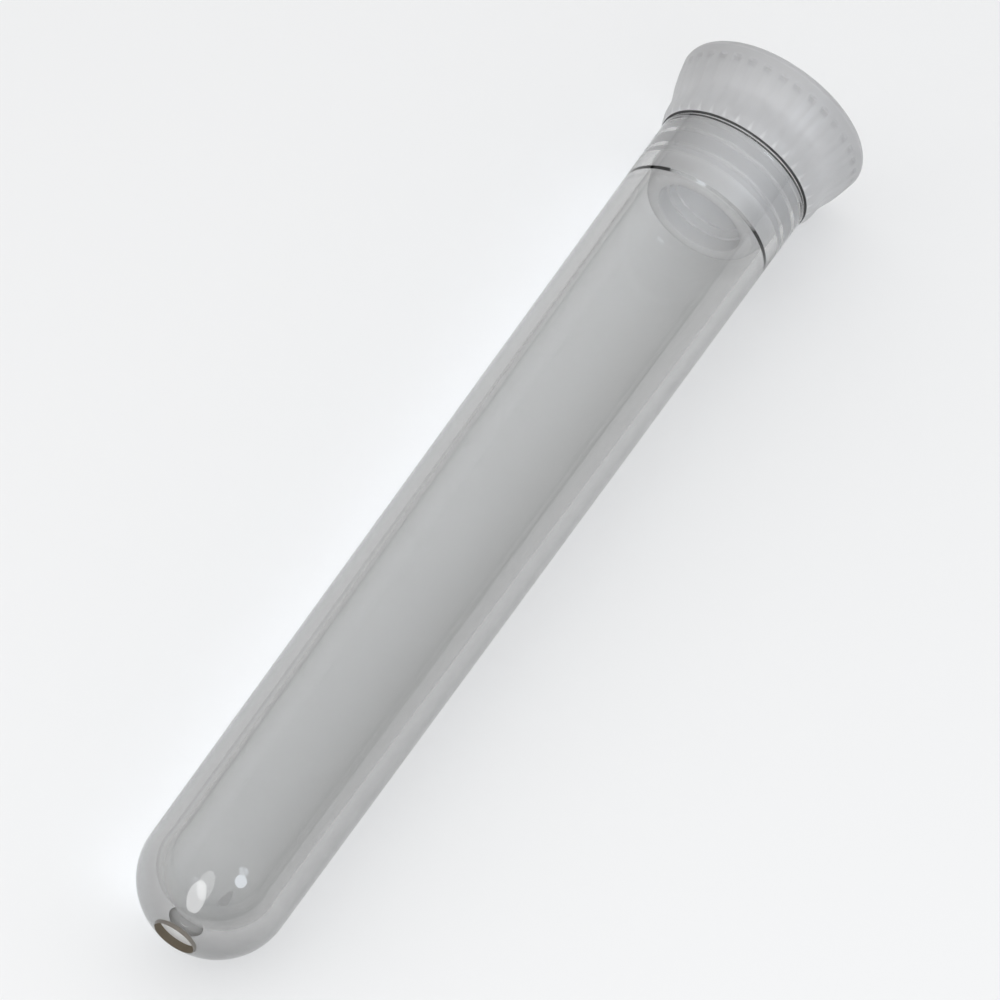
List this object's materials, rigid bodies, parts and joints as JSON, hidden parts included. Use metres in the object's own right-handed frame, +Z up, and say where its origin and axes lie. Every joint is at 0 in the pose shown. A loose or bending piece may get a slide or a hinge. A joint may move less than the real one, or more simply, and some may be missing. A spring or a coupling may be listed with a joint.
{
  "type": "test tube",
  "caption": "Clear round-bottomed plastic test tube with a push-in translucent stopper whose flared flange has grip grooves.",
  "frame": {"origin": "on the surface that the closed tube lies on, under the middle of its box", "axes": "+X runs towards the stopper (the tube's axis rises 1.7 degrees from it), +Z is up"},
  "size_m": [0.1082, 0.021, 0.0209],
  "materials": {
    "clear_tube": "clear polystyrene, polished mould finish",
    "milky_stopper": "natural translucent polyethylene, satin"
  },
  "bodies": {
    "tube": {"tube": "clear_tube"},
    "stopper": {"stopper": "milky_stopper"}
  },
  "joints": [
    {"name": "stopper_pull", "type": "slide", "parent": "tube", "child": "stopper", "axis": [0.9995, 0, 0.03], "range_m": [0, 0.035]}
  ]
}
